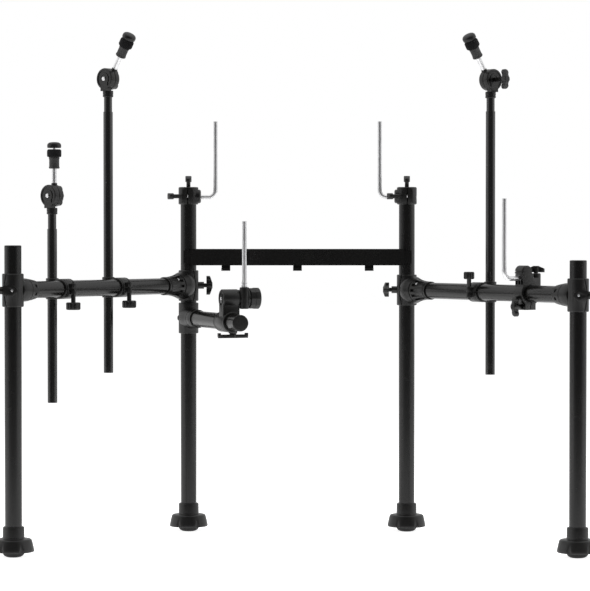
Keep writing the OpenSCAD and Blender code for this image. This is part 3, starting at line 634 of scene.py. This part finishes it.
def dressed(node, cuts=(), place=None, added=(), rounding=0.7, ending="_body"):
    """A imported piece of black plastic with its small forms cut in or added."""
    moulding(node + ending, packed_solid(node), [node], "moulded_plastic", cuts, place, added, rounding)


# %% [markdown]
# ## Feet
# A foot is a six-lobed moulded skirt with a sleeve for the post, on a pad of dark rubber. The lobes are the
# skirt's circle with small round bites between them. Cutting the bites with booleans would work too, but
# drawing in the points of the turned shape keeps its faces even.

# %% Feet
POST_RADIUS = 19.05
POST_FIT = 0.1
SEAT_HEIGHT = 16
PAD_TOP = 12
SLEEVE_TOP = 68
SKIRT_STEPS = 144
LOBES = 6
BITE_RADIUS = 5
BITE_CENTRE = 48
FIRST_BITE = math.pi / LOBES - math.pi / 2
SKIRT = [(0, PAD_TOP), (44.8, PAD_TOP), (46, 12.5), (46.3, 13.8), (45.3, 19), (44, 25), (42.6, 31),
         (41.2, 36.4), (40.2, 38.8), (38, 40.4), (33, 41.4), (25.6, 41.7), (24.6, 42.6), (24.3, 45),
         (24, 65.4), (23.4, 67.3), (22, SLEEVE_TOP), (POST_RADIUS + POST_FIT, SLEEVE_TOP),
         (POST_RADIUS + POST_FIT, SEAT_HEIGHT), (0, SEAT_HEIGHT)]
PAD = [(0, 0), (13, 0), (16.4, 0.8), (19.6, 2.4), (22.2, 4.8), (24, 7.6), (25.2, 10.4), (25.4, PAD_TOP),
       (0, PAD_TOP)]


def foot(name, node):
    place = upright_place(mount_place[name + "_face"])
    skirt = scalloped(turned(SKIRT, SKIRT_STEPS), LOBES, BITE_CENTRE, BITE_RADIUS, FIRST_BITE)
    detail(name + "_skirt", [skirt], place, body_of[node], "moulded_plastic", [node], rounding=0.5)
    detail(name + "_pad", [turned(PAD)], place, body_of[node], "foot_rubber", [node])


for side in SIDES:
    foot(side + "_inner_foot", "inner_feet")
    foot(side + "_outer_foot", side + "_outer_foot")
print("feet:", ", ".join(new_pieces))

# %% [markdown]
# ## Plugged pipes
# The outer posts and the snare arm end in a domed plastic plug that sits a little proud of the pipe. One
# turned shape with two materials on it would look the same, but pipe and plug are two things on the real
# rack, so they are two pieces here, each with one finish.

# %% Outer posts and the snare arm
PIPE_WALL = 1.6
PIPE_EDGE = 0.4
PLUG_FIT = 0.1
PLUG_LIP = 2.5
PLUG_DEPTH = 14
PLUG_DOME = 3.6
ARM_START = 26
ARM_END = 394


def plugged_pipe(node, place, start, end):
    """A pipe with a domed plastic plug in its upper end."""
    rim = end - PLUG_LIP
    inner = POST_RADIUS - PIPE_WALL
    shank = inner - PLUG_FIT
    pipe = [(inner, start), (POST_RADIUS - PIPE_EDGE, start), (POST_RADIUS, start + PIPE_EDGE),
            (POST_RADIUS, rim - PIPE_EDGE), (POST_RADIUS - PIPE_EDGE, rim), (inner, rim)]
    plug = [(0, end - PLUG_DEPTH), (shank, end - PLUG_DEPTH), (shank, rim + PLUG_FIT),
            (POST_RADIUS, rim + PLUG_FIT), (POST_RADIUS, rim + 0.9), (POST_RADIUS - 0.5, rim + 1.7),
            (POST_RADIUS - PLUG_DOME / 2, end - 0.2), (POST_RADIUS - PLUG_DOME, end), (0, end)]
    pipe_shape = turned(pipe, FINE_STEPS, ring=True)
    detail(node + "_pipe", [pipe_shape], place, body_of[node], "rack_paint", [node])
    detail(node + "_plug", [turned(plug, FINE_STEPS)], place, body_of[node], "moulded_plastic", [node])


for side in SIDES:
    node = side + "_outer_post"
    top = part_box(node)[1].z / MM
    plugged_pipe(node, upright_place(mount_place[side + "_outer_foot_face"]), SEAT_HEIGHT, top)
    print(node, "ends at", round(top), "mm")
plugged_pipe("snare_arm", arm_place() @ TO_X, ARM_START, ARM_END)

# %% [markdown]
# ## Moulded clamps
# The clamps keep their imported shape, which has the true bores and joints. What it leaves out is cut in here:
# the groove behind the trumpet's root, the dark ring at its mouth, the rib cells between them, the open seam
# between the collar and its jaw, and the recess round each bright screw. A bump map could draw these lines,
# but it would give no shadow in them.

# %% Cutters shared by the clamps
PIT_TOP = 40
PIT_STEPS = 32
SCREW_STEPS = 36
CELL_DEPTH = 20


def groove(start, width, inner, outer=45):
    """A ring-shaped groove round the X axis."""
    return placed(tube(inner, outer, start, start + width), TO_X)


def pit(radius, floor):
    """The recess round a screw."""
    return rod(radius, floor, PIT_TOP, PIT_STEPS)


def rib_cells(start, end, count, inner, width, shift=0.0):
    """Pockets round the X axis, with the ribs left standing between them."""
    low = (start, -width / 2, inner)
    high = (end, width / 2, inner + CELL_DEPTH)
    return [placed(box(low, high), turn(2 * math.pi * cell / count + shift, "X")) for cell in range(count)]


def screw_head(name, place, radius, body):
    """A dome-headed steel screw with a socket."""
    socket = radius * 0.5
    dome = [(0, -2), (radius, -2), (radius, 0.5), (radius * 0.86, 1.3), (radius * 0.55, 1.7), (socket, 1.7),
            (socket, 0.6), (0, 0.6)]
    detail(name, [turned(dome, SCREW_STEPS)], place, body, "chrome")


# %% The seam between a collar and its jaw
SEAM_EDGE = 12
SEAM_MIDDLE = 19.5
SEAM_HALF_GAP = 0.75
SEAM_HALF_HEIGHT = 39
SEAM_REACH = 30


def seam_slab():
    """The V-shaped gap between a collar and its jaw, in the bolt's own axes."""
    line = [(SEAM_EDGE, -SEAM_HALF_HEIGHT), (SEAM_MIDDLE, 0), (SEAM_EDGE, SEAM_HALF_HEIGHT)]
    near = [(x - SEAM_HALF_GAP, z) for x, z in line]
    far = [(x + SEAM_HALF_GAP, z) for x, z in reversed(line)]
    return placed(prism(near + far, -SEAM_REACH, SEAM_REACH), turn(BOLT_ANGLE) @ turn(math.pi / 2, "X"))


# %% Cuts of the wing clamps
INNER_SCREW_ALONG = 60
INNER_SCREW_TURN = math.radians(45)
OUTER_SCREW_ASIDE = -2
SCREW_PLACE = {
    "inner": move(INNER_SCREW_ALONG, 0, 0) @ turn(INNER_SCREW_TURN, "X") @ TO_Y,
    "outer": turn(BOLT_ANGLE) @ move(OUTER_SCREW_ASIDE, 0, 0) @ TO_Y,
}
INNER_CELLS = 12
OUTER_CELLS = 8
OUTER_SHIFT = math.pi / OUTER_CELLS


def inner_clamp_cuts():
    root = groove(start=44, width=2.2, inner=25.5)
    mouth = groove(start=90, width=1.8, inner=20.7)
    screw_pit = placed(pit(radius=4.2, floor=22.6), SCREW_PLACE["inner"])
    pockets = rib_cells(start=50, end=84, count=INNER_CELLS, inner=20.9, width=6.6)
    return [seam_slab(), root, mouth, screw_pit] + pockets


def outer_clamp_cuts():
    root = groove(start=38, width=1.6, inner=22.6)
    screw_pit = placed(pit(radius=5.2, floor=32.2), SCREW_PLACE["outer"])
    pockets = rib_cells(start=48, end=57, count=OUTER_CELLS, inner=20.6, width=7.5, shift=OUTER_SHIFT)
    return [seam_slab(), root, screw_pit] + pockets


# %% Wing clamps
CLAMP_ROUNDING = 0.6
CLAMP_SCREW_RADIUS = 3.1
SCREW_HEIGHT = {"inner": 22.8, "outer": 32.4}
CLAMP_CUTS = {"inner": inner_clamp_cuts, "outer": outer_clamp_cuts}
for side in SIDES:
    for end, cuts in CLAMP_CUTS.items():
        node = f"{side}_{end}_clamp"
        place = clamp_place(side, end)
        dressed(node, cuts(), place, rounding=CLAMP_ROUNDING)
        head = place @ SCREW_PLACE[end] @ move(0, 0, SCREW_HEIGHT[end])
        screw_head(node + "_screw", head, CLAMP_SCREW_RADIUS, body_of[node])
    to_jaws = [MILLIMETRES.inverted() @ clamp_place(side, end) for end in CLAMP_CUTS]
    slabs = [placed(seam_slab(), matrix) for matrix in to_jaws]
    dressed(side + "_clamp_jaws", slabs, MILLIMETRES, rounding=CLAMP_ROUNDING, ending="_pair")
    print(side, "wing clamps dressed")

# %% [markdown]
# ## Boom clamps
# A boom clamp is a ring on the wing pipe with a collar for the boom. Two fine grooves run round the ring, one
# near each end. They are cut like the grooves of the wing clamps, for the same reason.

# %% Boom clamps
BOOM_GROOVE_START = 12.6
BOOM_GROOVE_WIDTH = 1.7
for key, side in BOOM_SIDE.items():
    place = wing_place(side, joint_place[key + "_clamp_roll"])
    starts = (BOOM_GROOVE_START, -BOOM_GROOVE_START - BOOM_GROOVE_WIDTH)
    grooves = [groove(start, BOOM_GROOVE_WIDTH, inner=20.6, outer=23.5) for start in starts]
    dressed(key + "_boom_clamp", grooves, place, rounding=0.5)
print("boom clamps:", ", ".join(BOOM_SIDE))

# %% [markdown]
# ## Snare clamps
# The arm leaves its post through a short trumpet and carries a ring with an upright block. A barrel lies
# across the block's top. Its near end shows a bright screw in a round recess, its far end the toothed knuckle
# that holds the rod. Only the grooves, the recess and the screw are made here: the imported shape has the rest.

# %% Snare clamps
SNARE_GROOVE = 1.8
TRUMPET_ROOT = 46
TRUMPET_MOUTH = 70
RING_MIDDLE = 301
RING_GROOVE = 32
KNUCKLE_PLACE = 312
KNUCKLE_RISE = 54.5
BARREL_START = -20
BARREL_SCREW_RADIUS = 3.6
arm = arm_place()
knuckle = move(KNUCKLE_PLACE, 0, KNUCKLE_RISE) @ TO_Y
mouth = groove(TRUMPET_MOUTH, SNARE_GROOVE, inner=20.6)
root = groove(TRUMPET_ROOT, SNARE_GROOVE, inner=21.4)
dressed("snare_post_clamp", [mouth, root], arm, rounding=CLAMP_ROUNDING)
starts = (RING_MIDDLE - RING_GROOVE, RING_MIDDLE + RING_GROOVE - SNARE_GROOVE)
ring_cuts = [groove(start, SNARE_GROOVE, inner=22.2, outer=24.5) for start in starts]
barrel_recess = tube(inner=11, outer=15.5, low=BARREL_START - 1, high=BARREL_START + 2.4)
dressed("snare_rod_clamp", ring_cuts + [placed(barrel_recess, knuckle)], arm)
barrel_end = arm @ knuckle @ move(0, 0, BARREL_START) @ turn(math.pi, "X")
screw_head("snare_barrel_screw", barrel_end, BARREL_SCREW_RADIUS, "snare_rod_clamp")
print("snare clamps: ring at", RING_MIDDLE, "mm along the arm")

# %% [markdown]
# ## Snare knob and lever
# The large knob has a skirt that hides the knuckle's rim, with ten flat sides for the hand. The lever under
# the ring ends in two turned-up tips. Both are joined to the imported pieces, so that the rounding runs over
# the joint as on one moulding.

# %% The snare knob's skirt and the lever's turned-up ends
KNOB_SIDES = 10
KNOB_INNER = 21.8
KNOB_OUTER = 24.8
KNOB_START = 46.5
KNOB_END = 60.3
KNOB_SKIRT = [(KNOB_INNER, KNOB_START), (KNOB_OUTER - 1, KNOB_START), (KNOB_OUTER, KNOB_START + 1),
              (KNOB_OUTER, KNOB_END), (KNOB_INNER, KNOB_END)]
dressed("snare_knob", place=arm @ knuckle, added=[turned(KNOB_SKIRT, KNOB_SIDES, ring=True)])

LEVER_PLACE = (326, 4, -26.3)
LEVER_HALF = 36
LEVER_ROUNDING = 1.2
TIP_LENGTH = 6
TIP_FRONT = 4
TIP_BACK = -5
TIP_LOW = -7
TIP_HIGH = 1.5
tips = [box((TIP_BACK, start, TIP_LOW), (TIP_FRONT, start + TIP_LENGTH, TIP_HIGH))
        for start in (-LEVER_HALF, LEVER_HALF - TIP_LENGTH)]
dressed("snare_lever", place=arm @ move(*LEVER_PLACE), added=tips, rounding=LEVER_ROUNDING)
print("knob skirt", round(KNOB_END - KNOB_START, 1), "mm long, lever", 2 * LEVER_HALF, "mm")

# %% [markdown]
# ## Side drum clamp
# This clamp sits on the right wing and is ribbed: three pockets on its front, and three thin slots across the
# block above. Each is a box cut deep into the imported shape, so that it stays dark as on the real clamp.

# %% Side drum clamp
SIDE_CLAMP_HALF = 15.5
CUT_TO = 40
POCKET_WIDTH = 6.4
POCKET_STEP = 9.4
POCKET_FROM = 14
POCKET_LOW = 21
POCKET_HIGH = 33
SLOT_WIDTH = 1.4
SLOT_FROM = 20.2
SLOT_HEIGHTS = (38, 44, 50)
place = wing_place("right", joint_place["side_clamp_roll"])
cuts = []
for step in (-1, 0, 1):
    start = step * POCKET_STEP - POCKET_WIDTH / 2
    cuts.append(box((start, POCKET_FROM, POCKET_LOW), (start + POCKET_WIDTH, CUT_TO, POCKET_HIGH)))
for height in SLOT_HEIGHTS:
    low = (-SIDE_CLAMP_HALF - 1, SLOT_FROM, height)
    cuts.append(box(low, (SIDE_CLAMP_HALF + 1, CUT_TO, height + SLOT_WIDTH)))
dressed("side_tom_clamp", cuts, place)
print("side drum clamp:", len(cuts), "cuts")

# %% [markdown]
# ## Holders, knobs and wing screws
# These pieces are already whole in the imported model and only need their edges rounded, because a moulded edge
# catches light along its radius. A bolt shows as a bright dot in the split of each drum rod holder.

# %% Drum rod holders, knobs and wing screws
PLAIN = ["left_tom_holder", "right_tom_holder", "snare_knuckle", "hihat_clamp_knob", "left_clamp_knob",
         "right_clamp_knob", "side_tom_upper_nut", "side_tom_lower_nut"]
PLAIN += [f"{side}_{which}_wing_screw" for side in SIDES for which in ("inner", "outer")]
PLAIN += [f"{side}_tom_{which}_screw" for side in SIDES for which in ("top", "side")]
PLAIN += [key + "_tilter_nut" for key in BOOM_SIDE]
for node in PLAIN:
    dressed(node)
print("plain mouldings:", len(PLAIN))

# %% Bolts in the split of the drum rod holders
SPLIT_HALF = 0.9
BOLT_INNER = 3.02
BOLT_OUTER = 3.6
for side in SIDES:
    screw = joint_place[side + "_tom_side_screw_turn"]
    middle = joint_place[side + "_tom_swivel"].x
    place = Matrix.Translation((middle, screw.y, screw.z)) @ MILLIMETRES @ TO_X
    bolt = tube(BOLT_INNER, BOLT_OUTER, -SPLIT_HALF, SPLIT_HALF)
    detail(side + "_tom_bolt", [bolt], place, side + "_tom_side_screw", "chrome")

# %% [markdown]
# ## Tilters and cymbal seats
# A tilter is two round discs on one bolt. The near one stands on the boom, the far one carries the chrome rod
# in a socket. Above it sit a rubber sleeve, a felt washer and a domed cap nut. All of them are round, so each
# is a turned profile, and the stem is a box joined between the disc and its neck.

# %% Profiles of the tilter
DISC_GAP = 0.15
DISC_THICKNESS = 14
HINGE_HEIGHT = 42.5
STEM_HALF = 11
STEM_START = 14
DISC_FACE = DISC_GAP + DISC_THICKNESS
DISC = [(0, DISC_GAP), (24.2, DISC_GAP), (25, 1), (25, 11.6), (24.4, 13.2), (22.8, DISC_FACE),
        (20.6, DISC_FACE), (20, 13.6), (19.8, 12.4), (14.6, 12.4), (14.2, 13.6), (13.6, DISC_FACE),
        (9.6, DISC_FACE), (9, 13.2), (0, 13.2)]
NECK = [(0, 0), (11.2, 0), (12.3, 1.1), (12.3, 4.4), (11.7, 5), (11.7, 5.8), (12.3, 6.4), (12.3, 13.6),
        (11.4, 15), (0, 15)]
SOCKET = [(0, 8), (6.8, 8), (6.8, 27.6), (6.2, 29), (5.5, 29), (5.5, 27), (0, 27)]
BOLT_HEAD = [(0, 13), (5.4, 13), (5.4, 15.6), (4.6, 16.6), (0, 16.6)]
BOLT_SIDES = 6

# %% Profiles of the cymbal seat
STUD = 3.05
SLEEVE = [(STUD, 62), (11.2, 62), (12.2, 63), (12.2, 66), (11.5, 66.8), (11.5, 83), (12.2, 84), (12.2, 87),
          (11.2, 88), (STUD, 88)]
FELT = [(STUD, 88.1), (13.2, 88.1), (15.4, 89), (16.4, 91), (16.5, 97), (16.4, 103), (15.4, 105), (13.2, 106),
        (STUD, 106)]
CAP = [(0, 109), (14.6, 109), (15.8, 110), (16, 111.4), (16, 115.4), (15.5, 117.6), (14, 119.6),
       (11.6, 121.2), (8, 122.2), (3.6, 122.5), (0, 122.5)]

# %% The near disc on its boom
TILTER_ROUNDING = 0.6
UPPER_INNER = 8.05
UPPER_OUTER = 9.55
UPPER_INTO_NECK = 12


def tilter_base(key):
    """The near disc with its stem and neck, and the upper boom tube below it."""
    place = hinge_place(key)
    upper = key + "_boom_upper"
    disc = gathered([placed(turned(DISC), turn(math.pi) @ TO_X)], place)
    neck = placed(turned(NECK), move(0, 0, -HINGE_HEIGHT))
    stem = box((-DISC_FACE, -STEM_HALF, STEM_START - HINGE_HEIGHT), (-DISC_GAP, STEM_HALF, 0))
    moulding(key + "_tilter_base", disc, [upper], "moulded_plastic", place=place, added=[neck, stem],
             rounding=TILTER_ROUNDING)
    hinge = joint_place[key + "_cymbal_tilt"]
    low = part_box(upper)[0].z / MM
    high = hinge.z / MM - HINGE_HEIGHT + UPPER_INTO_NECK
    wall = tube(UPPER_INNER, UPPER_OUTER, low, high)
    detail(key + "_upper_tube", [wall], upright_place(hinge), body_of[upper], "rack_paint", [upper],
           finish=boom_coat)


# %% The far disc and the cymbal seat


def cymbal_seat(key):
    """The far disc with its socket, and the sleeve, felt and cap nut on the chrome rod."""
    body = body_of[key + "_tilter_head"]
    nodes = [key + "_tilter_head"]
    leaning = hinge_place(key) @ turn(ROD_LEAN[key], "X")
    beside = leaning @ move(DISC_GAP + DISC_THICKNESS / 2, 0, 0)
    disc = gathered([placed(turned(DISC), TO_X)], leaning)
    moulding(key + "_tilter_disc", disc, nodes, "moulded_plastic", place=beside, added=[turned(SOCKET)],
             rounding=TILTER_ROUNDING)
    detail(key + "_seat_sleeve", [turned(SLEEVE, ring=True)], beside, body, "foot_rubber", nodes)
    detail(key + "_felt", [turned(FELT, FINE_STEPS, ring=True)], beside, body, "cymbal_felt", nodes)
    detail(key + "_cap_nut", [turned(CAP, FINE_STEPS)], beside, body, "moulded_plastic", nodes)


def hinge_bolt(key):
    """The bolt's hexagon head, on the side away from the wing screw."""
    on_far_disc = key == "right"
    outwards = TO_X if on_far_disc else turn(math.pi) @ TO_X
    holder = body_of[key + ("_tilter_head" if on_far_disc else "_boom_upper")]
    head = placed(turned(BOLT_HEAD, BOLT_SIDES), outwards)
    leaning = hinge_place(key) @ turn(ROD_LEAN[key], "X")
    detail(key + "_tilter_bolt_head", [head], leaning, holder, "chrome", rounding=0.3)


for key in BOOM_SIDE:
    tilter_base(key)
    cymbal_seat(key)
    hinge_bolt(key)
print("tilters:", ", ".join(BOOM_SIDE))
print("new pieces in all:", len(new_pieces))
